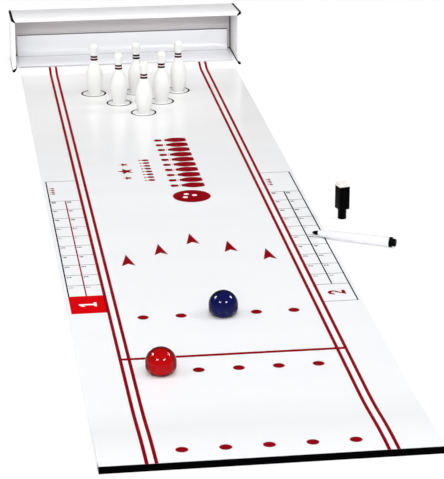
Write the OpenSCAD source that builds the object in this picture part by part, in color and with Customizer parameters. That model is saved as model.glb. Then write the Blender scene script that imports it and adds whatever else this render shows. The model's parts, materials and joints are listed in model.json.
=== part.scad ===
// Roll-up tabletop bowling game: a printed mat fixed in a white pin box, a black end bar,
// six pins, two gliding balls on steel bearings, and a marker with an eraser cap.
// The origin is the middle of the box's underside. +Y points away from the player,
// +X to the player's right and +Z up. The mat lies in front of the box, towards -Y.

/* [Play mat] */
// Width of the mat
mat_w = 300; // [260:5:340]
// Thickness of the mat
mat_t = 1.2; // [0.8:0.1:1.6]
// Length of the mat in front of the box, from its near end
lane_len = 1280; // [1160:10:1500]
// Length over which the mat climbs down from the end bar
near_ramp = 80; // [60:1:100]
// Length over which the mat climbs onto the box floor
far_ramp = 28; // [20:1:40]
// Outer radius of the mat where it turns up inside the box
upturn_r = 12; // [8:1:16]
// Height of the mat's upturned end above the box floor
upturn_h = 30; // [24:1:40]
// Thickness of the foam tape that holds the mat's two ends
tape_t = 0.8; // [0.4:0.1:1.2]
// Width of the foam tape
tape_w = 10; // [6:1:11]
// How far the foam tape stays back from the mat's edge
tape_inset = 1; // [0.5:0.1:1.5]

/* [Mat roll-up] */
// Number of strips that make the first turn of the rolled mat
roll_count = 6; // [4:1:7]
// Width of one strip along the mat
roll_strip = 22; // [18:1:24]

/* [End bar] */
// Height of the end bar, with the mat in its seat
bar_h = 6.5; // [4.5:0.1:8]
// Depth of the end bar from front to back
bar_depth = 14; // [13:0.5:18]
// Thickness of the lip that covers the mat's cut edge
bar_lip = 1.5; // [1.2:0.1:1.6]
// Rounding of the bar's long edges
bar_round = 0.6; // [0.2:0.1:0.7]

/* [Pin box] */
// Thickness of the box's boards
board_t = 5; // [3:0.5:8]
// Height of the box at its open front
box_front_h = 76; // [70:1:90]
// Height of the box at its back
box_back_h = 70; // [64:1:76]
// Depth of the box from front to back
box_depth = 76; // [66:1:100]
// Gap at each side between the mat and the box's end boards
mat_side_gap = 5.5; // [2:0.5:10]
// Thickness of the wedge-shaped black strip in each mitred joint, at the box's outer edge
joint_t = 4.2; // [1.6:0.1:4.4]
// Thickness of that strip at the box's inner corner
joint_inner_t = 1.4; // [0.6:0.1:1.6]
// Width of the black seal around the back board
seal_w = 1.2; // [0.8:0.1:2]

/* [Pins] */
// Height of a pin
pin_h = 69; // [66:1:80]
// Diameter at the belly
pin_belly_d = 22.5; // [20:0.5:26]
// Height of the belly above the base
pin_belly_z = 23.5; // [20:0.5:27]
// Diameter at the neck
pin_neck_d = 9.2; // [8:0.1:10.4]
// Height of the neck above the base
pin_neck_z = 50; // [46:0.5:54]
// Diameter of the head
pin_head_d = 11.6; // [11:0.1:13]
// Diameter of the base
pin_base_d = 15; // [12:0.5:18]
// Radius of the hollow in the base
pin_hollow_r = 4.5; // [3:0.1:5]
// Depth of the hollow in the base
pin_hollow = 1; // [0.5:0.1:3]
// Chamfer around the base
pin_edge = 0.6; // [0.3:0.1:1]
// Radius of the curve above the belly, which leads into the neck
pin_shoulder_r = 32; // [20:1:40]
// Distance between the centres of neighbouring pins
pin_pitch = 56.6; // [40:0.2:70]
// Distance from the front pin to the box
pin_front_gap = 222; // [180:1:260]

/* [Balls] */
// Diameter of a ball
ball_d = 29.7; // [28.5:0.1:34]
// Height of the dome's centre above the ball's flat base
ball_cut = 10.4; // [10:0.1:11]
// Height of the straight skirt under the dome
ball_skirt = 3; // [2.6:0.1:3.6]
// Radius of the side that runs in from the skirt to the flat base
ball_side_r = 8.2; // [7.8:0.1:9.6]
// Gap between the flat base and the mat
ball_ride = 0.5; // [0.3:0.1:0.8]
// Diameter of the bearing carrier in the base
carrier_d = 17.2; // [16:0.1:18]
// Height of the bearing carrier
carrier_h = 4.6; // [4.2:0.1:6]
// Clearance around the carrier in its seat
carrier_clear = 0.05; // [0.02:0.01:0.1]
// Diameter of a steel bearing ball
bearing_d = 4; // [3.2:0.1:4.2]
// Distance from the ball's axis to each bearing ball
bearing_reach = 5.4; // [5:0.1:5.8]
// Clearance around a bearing ball in its socket
bearing_clear = 0.06; // [0.04:0.01:0.1]
// Distance of the red ball from the mat's near end
red_from_near = 205; // [180:1:260]
// Sideways place of the red ball
red_x = -74; // [-90:1:-40]
// Distance of the blue ball from the mat's near end
blue_from_near = 342; // [300:1:400]
// Sideways place of the blue ball
blue_x = 4; // [-20:0.5:40]

/* [Marker] */
// Length of the nib that shows
nib_len = 7; // [3:0.5:8]
// Diameter of the nib
nib_d = 5; // [3.6:0.1:5.2]
// Length of the nib inside the barrel, up to the ink reservoir
nib_root_len = 6; // [6:0.5:9]
// Length of the white nose that holds the nib
nose_len = 10; // [9:0.5:14]
// Width of the nose's rim around the nib
nose_rim = 0.7; // [0.4:0.1:1.2]
// Length of the nose's root inside the barrel
nose_root_len = 5; // [3:0.5:6]
// Diameter of the nose where the cap slides on
nose_d = 7.8; // [7:0.1:8]
// Length of the barrel
barrel_len = 71; // [55:1:90]
// Diameter of the barrel at its front
barrel_front_d = 9.4; // [9.2:0.1:10]
// Diameter of the barrel at its back
barrel_back_d = 11.2; // [10.8:0.1:12.4]
// Wall of the barrel
barrel_wall = 1.2; // [0.8:0.1:1.4]
// Length of the plug's collar
collar_len = 3; // [2:0.5:6]
// How far the collar stands out around the barrel
collar_step = 0.1; // [0:0.05:0.3]
// Diameter of the plug's boss
boss_d = 8.4; // [6:0.1:9.5]
// Length of the plug's boss
boss_len = 4; // [3:0.5:8]
// Length of the plug's spigot inside the barrel
spigot_len = 5; // [3:0.5:7]
// Diameter of the ink reservoir
reservoir_d = 6; // [5:0.1:6.2]
// Clearance between the marker's nested pieces
marker_clear = 0.05; // [0.02:0.01:0.1]
// How far the nib reaches over the mat from its side edge
marker_reach = 17; // [12:1:24]
// Distance of the nib from the mat's near end
marker_from_near = 557; // [540:1:600]
// Direction in which the marker lies, from nib to plug
marker_heading = -28; // [-35:1:-20]

/* [Eraser cap] */
// Width of the cap's square block
cap_w = 12.8; // [11.4:0.1:14]
// Height of the cap's square block
cap_block_h = 26.5; // [18:0.5:30]
// Outer diameter of the cap's tube
cap_tube_d = 9.6; // [9.4:0.1:10.6]
// Length of the cap's tube
cap_tube_h = 12; // [10:0.5:16]
// Depth of the socket from the tube's mouth
cap_socket_h = 18; // [15:0.5:22]
// Clearance around the nose inside the socket
cap_clear = 0.15; // [0.05:0.05:0.3]
// Rounding of the block's upright edges
cap_round = 1; // [0.5:0.1:2]
// Thickness of the felt eraser
felt_t = 4; // [2:0.5:5]
// Distance from the mat's side edge to the cap
cap_from_side = 27.5; // [20:0.5:40]
// Distance of the cap from the mat's near end
cap_from_near = 616; // [600:1:660]
// Turn of the cap about its upright axis
cap_turn = 15; // [0:5:45]

/* [Hidden] */
$fn = 64;
// Steps along one curve of an outline
CURVE = 8;
// A size that passes any wall it cuts
BEYOND = 250;

BOARD_NODES = ["floor_board", "top_board", "back_board", "left_end_board", "right_end_board"];
SEAM_NODES = ["floor_joint_strips", "top_joint_strips", "back_seal"];
MAT_NODES = ["play_mat", "play_mat_box_floor", "play_mat_upturn"];
TRIM_NODES = ["mat_back_tape", "end_bar", "end_bar_tape"];
STRIP_NODES = [for (i = [1:roll_count]) str("mat_roll_strip_", i)];
// Each pin's node, its row from the front and its place in that row from the left
PINS = [
    ["pin_1_front", 0, 0],
    ["pin_2_middle_left", 1, 0],
    ["pin_3_middle_right", 1, 1],
    ["pin_4_back_left", 2, 0],
    ["pin_5_back_centre", 2, 1],
    ["pin_6_back_right", 2, 2]
];
PIN_NODES = [for (p = PINS) p[0]];
// Each ball's name, colour and place on the lane
BALLS = [
    ["red_ball", "crimson", red_x, red_from_near],
    ["blue_ball", "midnightblue", blue_x, blue_from_near]
];
BALL_PIECES = ["_shell", "_carrier", "_bearing_1", "_bearing_2", "_bearing_3"];
BALL_NODES = [for (b = BALLS) for (piece = BALL_PIECES) str(b[0], piece)];
MARKER_NODES = ["marker_barrel", "marker_nose", "marker_nib", "marker_reservoir", "marker_plug"];
CAP_NODES = ["cap_body", "cap_eraser"];

// The box, and the places along the mat where it leaves the roll-up strips, climbs and turns up
box_inner_w = mat_w + 2 * mat_side_gap;
box_w = box_inner_w + 2 * board_t;
box_front = -box_depth / 2;
box_back = box_depth / 2;
back_face = box_back - board_t;
box_slope = atan((box_front_h - box_back_h) / box_depth);
near_end = box_front - lane_len;
roll_end = near_end + roll_count * roll_strip;
climb_from = box_front - far_ramp;
turn_from = back_face - tape_t - upturn_r;
// A mitre strip's width measured along a board's outer and inner face
mitre = joint_t / sqrt(2);
mitre_inner = joint_inner_t / sqrt(2);
// Height of the mat's underside on the end bar
bar_seat = bar_h - mat_t;

// The marker, measured from the nib's tip along its axis
barrel_from = nib_len + nose_len;
barrel_to = barrel_from + barrel_len;
collar_to = barrel_to + collar_len;
collar_r = barrel_back_d / 2 + collar_step;
edge_from = marker_reach / cos(marker_heading);
barrel_taper = (barrel_back_d - barrel_front_d) / 2 / barrel_len;
edge_r = barrel_front_d / 2 + (edge_from - barrel_from) * barrel_taper;
marker_tilt = asin((mat_t + edge_r - collar_r) / (collar_to - edge_from));
marker_rest = 0.05;

// Points of an arc about [c, h], from angle a to angle b
function arc(c, h, r, a, b) =
    [for (i = [0:CURVE]) let (t = a + (b - a) * i / CURVE) [c + r * cos(t), h + r * sin(t)]];
function backwards(points) = [for (i = [len(points) - 1:-1:0]) points[i]];
function middle(points) = [for (i = [1:len(points) - 2]) points[i]];

// Radii of two touching arcs add up to this when the outline steps in by d over a height h
function arc_sum(d, h) = (d * d + h * h) / (2 * d);

// The turn and the radius of the two arcs that climb h over a length l
function climb_turn(l, h) = 2 * atan(h / l);
function climb_r(l, h) = l / (2 * sin(climb_turn(l, h)));

// A climb that starts level at [y, z], drawn at a distance up above the mat's underside
function climb(y, z, l, h, up) =
    let (a = climb_turn(l, h), r = climb_r(l, h))
    concat(
        arc(y, z + r, r - up, -90, -90 + a),
        arc(y + l, z + h - r, r + up, 90 + a, 90)
    );
function mirrored(points, y) = backwards([for (p = points) [2 * y - p[0], p[1]]]);
function descent(y, l, h, up) = mirrored(climb(y, 0, l, h, up), y + l / 2);
function turn_up(up) = arc(turn_from, board_t + upturn_r, upturn_r - up, -90, 0);

// One side of the mat from its near edge to its top edge: up is 0 below and mat_t above
function mat_side(up) = concat(
    [[near_end + bar_lip, bar_seat + up]],
    descent(near_end + bar_depth, near_ramp, bar_seat, up),
    climb(climb_from, 0, far_ramp, board_t, up),
    turn_up(up),
    [[back_face - tape_t - up, board_t + upturn_h]]
);

// Stands an outline drawn in Y and Z upright and gives it a width along X, about the middle
module across(width)
    rotate([90, 0, 90])
        linear_extrude(width, center = true)
            children();

// Lays an outline drawn in X and Z along Y
module along(from, length)
    translate([0, from + length, 0])
        rotate([90, 0, 0])
            linear_extrude(length)
                children();

// The piece of the mat between two places along Y
module mat_piece(from, to)
    color("whitesmoke")
        across(mat_w)
            intersection() {
                polygon(concat(mat_side(0), backwards(mat_side(mat_t))));
                translate([from, -1])
                    square([to - from, box_front_h]);
            }

// The flat lane, the piece that climbs onto the box floor, and the upturned far end
module play_mat() mat_piece(roll_end, climb_from);
module play_mat_box_floor() mat_piece(climb_from, turn_from);
module play_mat_upturn() mat_piece(turn_from, box_back);

// Strip 1 is next to the lane, and the last one carries the end bar
module mat_roll_strip(i)
    mat_piece(roll_end - i * roll_strip, roll_end - (i - 1) * roll_strip);

module mat_back_tape()
    color("gray")
        translate([-mat_w / 2, back_face - tape_t, board_t + upturn_h - tape_inset - tape_w])
            cube([mat_w, tape_t, tape_w]);

module end_bar_tape()
    color("gray")
        translate([-mat_w / 2, near_end + bar_lip + tape_inset, bar_seat - tape_t])
            cube([mat_w, tape_w, tape_t]);

// A rectangle with its two front corners rounded
module bar_outline(depth, height)
    union() {
        translate([bar_round, 0])
            square([depth - bar_round, height]);
        translate([0, bar_round])
            square([depth, height - 2 * bar_round]);
        for (z = [bar_round, height - bar_round])
            translate([bar_round, z])
                circle(bar_round);
    }

module end_bar()
    color("#1b1b1d")
        across(mat_w)
            translate([near_end, 0])
                union() {
                    bar_outline(bar_lip, bar_h);
                    translate([bar_lip / 2, 0])
                        square([bar_depth - bar_lip / 2, bar_seat - tape_t]);
                }

// Outline of a board between two mitres, from its outer face at 0 to its inner face at board_t
module mitred_board(width, inward)
    polygon([
        [-width / 2 + mitre, 0],
        [width / 2 - mitre, 0],
        [width / 2 - board_t - mitre_inner, inward * board_t],
        [-width / 2 + board_t + mitre_inner, inward * board_t]
    ]);

// Outline of the black strip that fills the mitre at the left end
module mitre_strip(inward)
    polygon([
        [-box_w / 2, 0],
        [-box_w / 2 + mitre, 0],
        [-box_w / 2 + board_t + mitre_inner, inward * board_t],
        [-box_w / 2 + board_t, inward * (board_t + mitre_inner)],
        [-box_w / 2, inward * mitre]
    ]);

// Everything from a mitre strip outwards, at the left end
module beyond_mitre(inward)
    polygon([
        [-box_w / 2 - board_t, -inward * BEYOND],
        [-box_w / 2 - board_t, inward * (2 * mitre - mitre_inner - board_t)],
        [-box_w / 2 + 2 * board_t, inward * (2 * mitre_inner - mitre + 2 * board_t)],
        [-box_w / 2 + 2 * board_t, -inward * BEYOND]
    ]);

// The sloping top face as a ground plane: its front edge at Y 0, running back and down
module on_slope()
    translate([0, box_front, box_front_h])
        rotate([-box_slope, 0, 0])
            children();

// Keeps what lies between the box's front and back
module box_length()
    intersection() {
        translate([-BEYOND, box_front, -BEYOND])
            cube([2 * BEYOND, box_depth, 2 * BEYOND]);
        children();
    }

module both_ends() {
    children();
    mirror([1, 0, 0])
        children();
}

module floor_board()
    color("white")
        along(box_front, box_depth)
            mitred_board(box_w, 1);

module top_board()
    color("white")
        box_length()
            on_slope()
                along(-BEYOND, 2 * BEYOND)
                    mitred_board(box_w, -1);

module end_board()
    color("white")
        difference() {
            translate([-box_w / 2, box_front, 0])
                cube([board_t, box_depth, box_front_h]);
            along(-BEYOND, 2 * BEYOND)
                beyond_mitre(1);
            on_slope()
                along(-BEYOND, 2 * BEYOND)
                    beyond_mitre(-1);
        }

module left_end_board() end_board();
module right_end_board() mirror([1, 0, 0]) end_board();

module floor_joint_strips()
    color("black")
        both_ends()
            along(box_front, box_depth)
                mitre_strip(1);

module top_joint_strips()
    color("black")
        both_ends()
            box_length()
                on_slope()
                    along(-BEYOND, 2 * BEYOND)
                        mitre_strip(-1);

// The room for the back board inside the other four, drawn in by inset all round
module back_room(inset)
    difference() {
        translate([-box_inner_w / 2 + inset, back_face, board_t + inset])
            cube([box_inner_w - 2 * inset, board_t, box_front_h]);
        on_slope()
            translate([-BEYOND, -BEYOND, -board_t - inset])
                cube(2 * BEYOND);
    }

module back_board()
    color("white")
        back_room(seal_w);

// A black bead around the back board, cut back where the mitre strips' corners reach in
module back_seal()
    color("black")
        difference() {
            back_room(0);
            back_room(seal_w);
            floor_joint_strips();
            top_joint_strips();
        }

// Half outline of a pin: base, belly, shoulder, neck and head as arcs that run on smoothly
module pin_outline() {
    belly_r = pin_belly_d / 2;
    neck_r = pin_neck_d / 2;
    head_r = pin_head_d / 2;
    base_r = pin_base_d / 2;
    head_z = pin_h - head_r;
    flank_h = pin_belly_z - pin_edge;
    flank_r = arc_sum(belly_r - base_r, flank_h);
    shoulder = arc_sum(belly_r - neck_r, pin_neck_z - pin_belly_z);
    shoulder_turn = asin((pin_neck_z - pin_belly_z) / shoulder);
    neck_curve = shoulder - pin_shoulder_r;
    throat = arc_sum(head_r - neck_r, head_z - pin_neck_z);
    throat_turn = asin((head_z - pin_neck_z) / throat);
    throat_r = throat - head_r;
    polygon(concat(
        [[0, pin_hollow], [pin_hollow_r, pin_hollow], [pin_hollow_r + pin_edge, 0], [base_r - pin_edge, 0]],
        arc(belly_r - flank_r, pin_belly_z, flank_r, -asin(flank_h / flank_r), 0),
        middle(arc(belly_r - pin_shoulder_r, pin_belly_z, pin_shoulder_r, 0, shoulder_turn)),
        arc(neck_r + neck_curve, pin_neck_z, neck_curve, 180 + shoulder_turn, 180),
        middle(arc(neck_r + throat_r, pin_neck_z, throat_r, 180, 180 - throat_turn)),
        arc(0, head_z, head_r, -throat_turn, 90)
    ));
}

module pin(p)
    color("ivory")
        translate([
            (p[2] - p[1] / 2) * pin_pitch,
            box_front - pin_front_gap + p[1] * pin_pitch * sin(60),
            mat_t
        ])
            rotate_extrude()
                pin_outline();

// Where a ball's flat base is, on its axis
module at_ball(b)
    translate([b[2], near_end + b[3], mat_t + ball_ride])
        children();

// Centres of the three bearing balls: one in front, two behind
module at_bearing(i)
    rotate(120 * i - 30)
        translate([bearing_reach, 0, bearing_d / 2 - ball_ride])
            children();

// Half outline of a ball: flat base, a side fuller than a sphere's, a short skirt and a dome
module ball_outline() {
    side_h = ball_cut - ball_skirt;
    polygon(concat(
        [[0, 0]],
        arc(ball_d / 2 - ball_side_r, side_h, ball_side_r, -asin(side_h / ball_side_r), 0),
        arc(0, ball_cut, ball_d / 2, 0, 90)
    ));
}

module ball_shell(b)
    color(b[1])
        at_ball(b)
            difference() {
                rotate_extrude()
                    ball_outline();
                translate([0, 0, -1])
                    cylinder(d = carrier_d, h = carrier_h + 1);
            }

// A disc with three sockets: each ball drops in from above and shows through a smaller mouth
module ball_carrier(b)
    color("dimgray")
        at_ball(b)
            difference() {
                cylinder(d = carrier_d - 2 * carrier_clear, h = carrier_h);
                for (i = [1:3])
                    at_bearing(i) {
                        sphere(d = bearing_d + 2 * bearing_clear);
                        cylinder(d = bearing_d + 2 * bearing_clear, h = carrier_h);
                    }
            }

module ball_bearing(b, i)
    color("silver")
        at_ball(b)
            at_bearing(i)
                sphere(d = bearing_d);

// The marker's axis as an upright: 0 at the nib's tip, its plug towards +Z
module at_marker()
    translate([
        mat_w / 2 - marker_reach,
        near_end + marker_from_near,
        collar_r + marker_rest + collar_to * sin(marker_tilt)
    ])
        rotate([0, 90 + marker_tilt, marker_heading])
            children();

// Bullet nib: half an ellipse in front of a straight root that reaches the ink reservoir
module marker_nib()
    color("#141414")
        at_marker()
            rotate_extrude()
                polygon(concat(
                    [for (i = [0:CURVE]) let (t = 90 * i / CURVE)
                        [nib_d / 2 * sin(t), nib_len * (1 - cos(t))]],
                    [[nib_d / 2, barrel_from + nib_root_len], [0, barrel_from + nib_root_len]]
                ));

// White nose: a cone, a straight seat for the cap and a root inside the barrel
module marker_nose()
    color("white")
        at_marker()
            difference() {
                union() {
                    translate([0, 0, nib_len])
                        cylinder(d1 = nib_d + 2 * nose_rim, d2 = nose_d, h = nose_len / 2);
                    translate([0, 0, nib_len + nose_len / 2])
                        cylinder(d = nose_d, h = nose_len / 2);
                    translate([0, 0, barrel_from])
                        cylinder(d = barrel_front_d - 2 * barrel_wall - 2 * marker_clear, h = nose_root_len);
                }
                translate([0, 0, nib_len - 1])
                    cylinder(d = nib_d + 2 * marker_clear, h = nose_len + nose_root_len + 2);
            }

module marker_barrel()
    color("whitesmoke")
        at_marker()
            translate([0, 0, barrel_from])
                difference() {
                    cylinder(d1 = barrel_front_d, d2 = barrel_back_d, h = barrel_len);
                    translate([0, 0, -1])
                        cylinder(
                            d1 = barrel_front_d - 2 * barrel_wall - 2 * barrel_taper,
                            d2 = barrel_back_d - 2 * barrel_wall + 2 * barrel_taper,
                            h = barrel_len + 2
                        );
                }

module marker_reservoir()
    color("#3a3a3c")
        at_marker()
            translate([0, 0, barrel_from + nib_root_len + marker_clear])
                cylinder(d = reservoir_d, h = barrel_len - nib_root_len - spigot_len - 2 * marker_clear);

module marker_plug()
    color("#141414")
        at_marker() {
            translate([0, 0, barrel_to - spigot_len])
                cylinder(
                    d = barrel_back_d - 2 * barrel_wall - 2 * spigot_len * barrel_taper - 2 * marker_clear,
                    h = spigot_len
                );
            translate([0, 0, barrel_to])
                cylinder(r = collar_r, h = collar_len);
            translate([0, 0, collar_to])
                cylinder(d = boss_d, h = boss_len);
        }

module at_cap()
    translate([mat_w / 2 + cap_from_side, near_end + cap_from_near, 0])
        rotate(cap_turn)
            children();

// A square with rounded corners, about the middle
module rounded_square(width, r)
    union() {
        square([width - 2 * r, width], center = true);
        square([width, width - 2 * r], center = true);
        for (x = [-1, 1], y = [-1, 1])
            translate([x, y] * (width / 2 - r))
                circle(r);
    }

// The cap stands on the mouth of its tube, with the eraser up
module cap_body()
    color("#141414")
        at_cap()
            difference() {
                union() {
                    cylinder(d = cap_tube_d, h = cap_tube_h);
                    translate([0, 0, cap_tube_h])
                        linear_extrude(cap_block_h)
                            rounded_square(cap_w, cap_round);
                }
                translate([0, 0, -1])
                    cylinder(d = nose_d + 2 * cap_clear, h = cap_socket_h + 1);
            }

module cap_eraser()
    color("white")
        at_cap()
            translate([0, 0, cap_tube_h + cap_block_h])
                linear_extrude(felt_t)
                    rounded_square(cap_w, cap_round);

floor_board();
top_board();
back_board();
left_end_board();
right_end_board();
floor_joint_strips();
top_joint_strips();
back_seal();
play_mat();
play_mat_box_floor();
play_mat_upturn();
mat_back_tape();
end_bar();
end_bar_tape();
for (i = [1:roll_count]) mat_roll_strip(i);
for (p = PINS) pin(p);
for (b = BALLS) ball_shell(b);
for (b = BALLS) ball_carrier(b);
for (b = BALLS, i = [1:3]) ball_bearing(b, i);
marker_barrel();
marker_nose();
marker_nib();
marker_reservoir();
marker_plug();
cap_body();
cap_eraser();
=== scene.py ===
# %% [markdown]
# # A roll-up bowling mat with its pin box
# The game is a long printed vinyl mat. Its far end is taped inside a white box that catches the
# pins, and its near end sits in a black bar, round which the mat is rolled up to put it away.
# This lesson dresses the exact solids of the model: each cell below makes one piece or one
# finish, in metres, in the same place as the solid that it stands for.

import json
import math

import bmesh
import bpy
from mathutils import Matrix, Vector

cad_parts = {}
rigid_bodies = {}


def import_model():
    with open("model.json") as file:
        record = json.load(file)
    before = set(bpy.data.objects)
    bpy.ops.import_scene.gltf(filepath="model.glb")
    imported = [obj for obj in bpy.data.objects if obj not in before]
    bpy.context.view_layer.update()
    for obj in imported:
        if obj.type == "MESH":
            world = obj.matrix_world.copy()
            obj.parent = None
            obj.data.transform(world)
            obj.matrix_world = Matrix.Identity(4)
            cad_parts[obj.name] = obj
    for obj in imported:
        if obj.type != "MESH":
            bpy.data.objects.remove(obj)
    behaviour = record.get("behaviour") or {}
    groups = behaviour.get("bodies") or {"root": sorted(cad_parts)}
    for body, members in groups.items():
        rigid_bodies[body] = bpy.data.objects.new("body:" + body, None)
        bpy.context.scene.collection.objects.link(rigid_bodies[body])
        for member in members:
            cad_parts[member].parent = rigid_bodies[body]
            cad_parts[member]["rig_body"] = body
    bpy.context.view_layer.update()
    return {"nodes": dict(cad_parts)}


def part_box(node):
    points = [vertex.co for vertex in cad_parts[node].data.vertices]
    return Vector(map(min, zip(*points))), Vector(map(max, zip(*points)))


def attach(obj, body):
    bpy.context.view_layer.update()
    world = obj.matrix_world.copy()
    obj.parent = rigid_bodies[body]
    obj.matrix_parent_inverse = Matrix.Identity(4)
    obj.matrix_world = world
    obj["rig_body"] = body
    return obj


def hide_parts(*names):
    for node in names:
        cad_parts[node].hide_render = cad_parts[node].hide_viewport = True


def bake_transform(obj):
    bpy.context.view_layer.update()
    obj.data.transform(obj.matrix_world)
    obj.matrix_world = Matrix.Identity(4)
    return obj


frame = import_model()
MM = 0.001


# %% [markdown]
# ## Small helpers for finishes
# A colour on a screen is written as a hex value, but light adds up in linear numbers, so one
# function turns the first into the second. Another adds one shader node with its settings and
# its links. A socket may be named or numbered, because some nodes have two of one name. The last
# one makes a material from the few values that set one finish apart from the next.

# %% Colour and node helpers
def linear(hex_value):
    channels = [int(hex_value[i:i + 2], 16) / 255 for i in (1, 3, 5)]
    return (*[c / 12.92 if c <= 0.04045 else ((c + 0.055) / 1.055) ** 2.4 for c in channels], 1.0)


def add_node(tree, kind, settings=None, links=None):
    node = tree.nodes.new(kind)
    for key, value in (settings or {}).items():
        if isinstance(key, int) or key in node.inputs:
            node.inputs[key].default_value = value
        else:
            setattr(node, key, value)
    for key, source in (links or {}).items():
        tree.links.new(source, node.inputs[key])
    return node


def finish(name, colour, roughness, ior=1.5, metallic=0.0, gloss=0.5):
    made = bpy.data.materials.new(name)
    made.use_nodes = True
    shader = made.node_tree.nodes["Principled BSDF"]
    shader.inputs["Base Color"].default_value = linear(colour)
    shader.inputs["Roughness"].default_value = roughness
    shader.inputs["IOR"].default_value = ior
    shader.inputs["Metallic"].default_value = metallic
    shader.inputs["Specular IOR Level"].default_value = gloss
    return made, made.node_tree, shader


print("mid grey in linear light", round(linear("#808080")[0], 3))

# %% [markdown]
# ## Grain at a real size
# Most surfaces here are plastics whose look comes from very small unevenness. A noise texture
# measured in object space repeats its lumps every 1 / scale metres, so the scale is one over the
# real lump size. The same noise can tint the colour a little and push the surface in and out.

# %% Grain helper
def lumps(tree, size_mm, detail=2.0, stretch=(1, 1, 1)):
    place = add_node(tree, "ShaderNodeTexCoord")
    scaled = add_node(
        tree, "ShaderNodeMapping", {"Scale": stretch}, {"Vector": place.outputs["Object"]}
    )
    return add_node(
        tree, "ShaderNodeTexNoise",
        {"Scale": 1 / (size_mm * MM), "Detail": detail}, {"Vector": scaled.outputs["Vector"]},
    ).outputs["Fac"]


def uneven(tree, shader, height, depth_mm):
    bump = add_node(
        tree, "ShaderNodeBump", {"Strength": 1.0, "Distance": depth_mm * MM}, {"Height": height}
    )
    tree.links.new(bump.outputs["Normal"], shader.inputs["Normal"])


def tinted(tree, shader, amount, dark, light):
    blend = add_node(
        tree, "ShaderNodeMix", {"data_type": "RGBA", 6: linear(dark), 7: linear(light)}, {0: amount}
    )
    tree.links.new(blend.outputs[2], shader.inputs["Base Color"])


print("noise scale for lumps of 5 mm", 1 / (5 * MM))

# %% [markdown]
# ## The finishes of the mat
# The mat is calendered PVC banner film: white, a little blue, and glossy under a clear laminate.
# It has been rolled up, so it keeps faint waves about 90 mm apart along its length, which the
# lamps show as soft grey bands.

# %% Vinyl
vinyl, tree, shader = finish("calendered_pvc_film", "#f8f9fc", 0.2, 1.53)
waves = lumps(tree, 90, 1.0, (0.35, 1, 1))
tinted(tree, shader, waves, "#f5f6f9", "#fafbfd")
uneven(tree, shader, waves, 1.0)
film_white = shader.inputs["Base Color"].links[0].from_socket
place = add_node(tree, "ShaderNodeTexCoord")
along = add_node(tree, "ShaderNodeSeparateXYZ", None, {0: place.outputs["Object"]})
print("film made")

# %% [markdown]
# Shade is painted into the film's colour. Two grey lines of painted shade run across the film where
# it bends: one over the front edge of the box floor, and one where the sheet turns up at the back.
# The front line fades from left to right. In front of the box the film is painted greyer and
# warmer, more so towards the pins, as painted shade for the dimmer light among them.

# %% Painted shade in the bends and towards the pins
# Half the mat's width, then each fold's middle along Y and half the fold's width, in millimetres
half_w = 150
front_fold, back_fold = (-34.8, 3.4), (21.5, 1.6)
front_left, front_right, back_shade_depth = 0.95, 0.3, 0.45
# Where the painted shade towards the pins starts and is full along Y, in millimetres, and its
# greatest share
pin_shade_from, pin_shade_to, pin_shade_most = -620, -120, 0.9
box_mouth = -38
# Each mask is 1 inside one bend's grey line of painted shade
folds = [
    add_node(
        tree, "ShaderNodeMath", {"operation": "COMPARE", 1: middle * MM, 2: half * MM},
        {0: along.outputs["Y"]},
    ).outputs[0]
    for middle, half in (front_fold, back_fold)
]
fade = add_node(
    tree, "ShaderNodeMapRange",
    {
        "From Min": -half_w * MM, "From Max": half_w * MM,
        "To Min": front_left, "To Max": front_right,
    },
    {0: along.outputs["X"]},
)
front = add_node(
    tree, "ShaderNodeMath", {"operation": "MULTIPLY"}, {0: folds[0], 1: fade.outputs[0]}
)
# How dark the painted shade in the bends is: the front line fades across, the back one is even
crease_shade = add_node(
    tree, "ShaderNodeMath", {"operation": "MULTIPLY_ADD", 1: back_shade_depth},
    {0: folds[1], 2: front.outputs[0]},
)
# Painted shade: the film grows greyer and warmer from here towards the pins
pin_shade_ramp = add_node(
    tree, "ShaderNodeMapRange",
    {"From Min": pin_shade_from * MM, "From Max": pin_shade_to * MM, "To Min": 0.0, "To Max": pin_shade_most},
    {0: along.outputs["Y"]},
)
in_front = add_node(
    tree, "ShaderNodeMath", {"operation": "LESS_THAN", 1: box_mouth * MM}, {0: along.outputs["Y"]}
)
lane_only = add_node(
    tree, "ShaderNodeMath", {"operation": "MULTIPLY"},
    {0: pin_shade_ramp.outputs[0], 1: in_front.outputs[0]},
)
# The colour of the painted shade near the pins, greyer and warmer than the film
pin_shaded = add_node(
    tree, "ShaderNodeMix", {"data_type": "RGBA", 7: linear("#ecebea")},
    {0: lane_only.outputs[0], 6: film_white},
)
# Mix in the grey of the painted shade in the bends
crease_shaded = add_node(
    tree, "ShaderNodeMix", {"data_type": "RGBA", 7: linear("#989a9f")},
    {0: crease_shade.outputs[0], 6: pin_shaded.outputs[2]},
)
tree.links.new(crease_shaded.outputs[2], shader.inputs["Base Color"])
print("folds", len(folds))

# %% [markdown]
# The film's back is a woven polyester scrim, and a cut edge shows the film's core. The marks are
# screen inks, which dry duller than the film. Each ink varies a little in depth, as ink does that
# has been pushed through a mesh.

# %% Scrim, edges and inks
scrim, tree, shader = finish("woven_polyester_scrim", "#d8d9db", 0.75)
place = add_node(tree, "ShaderNodeTexCoord")
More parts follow.
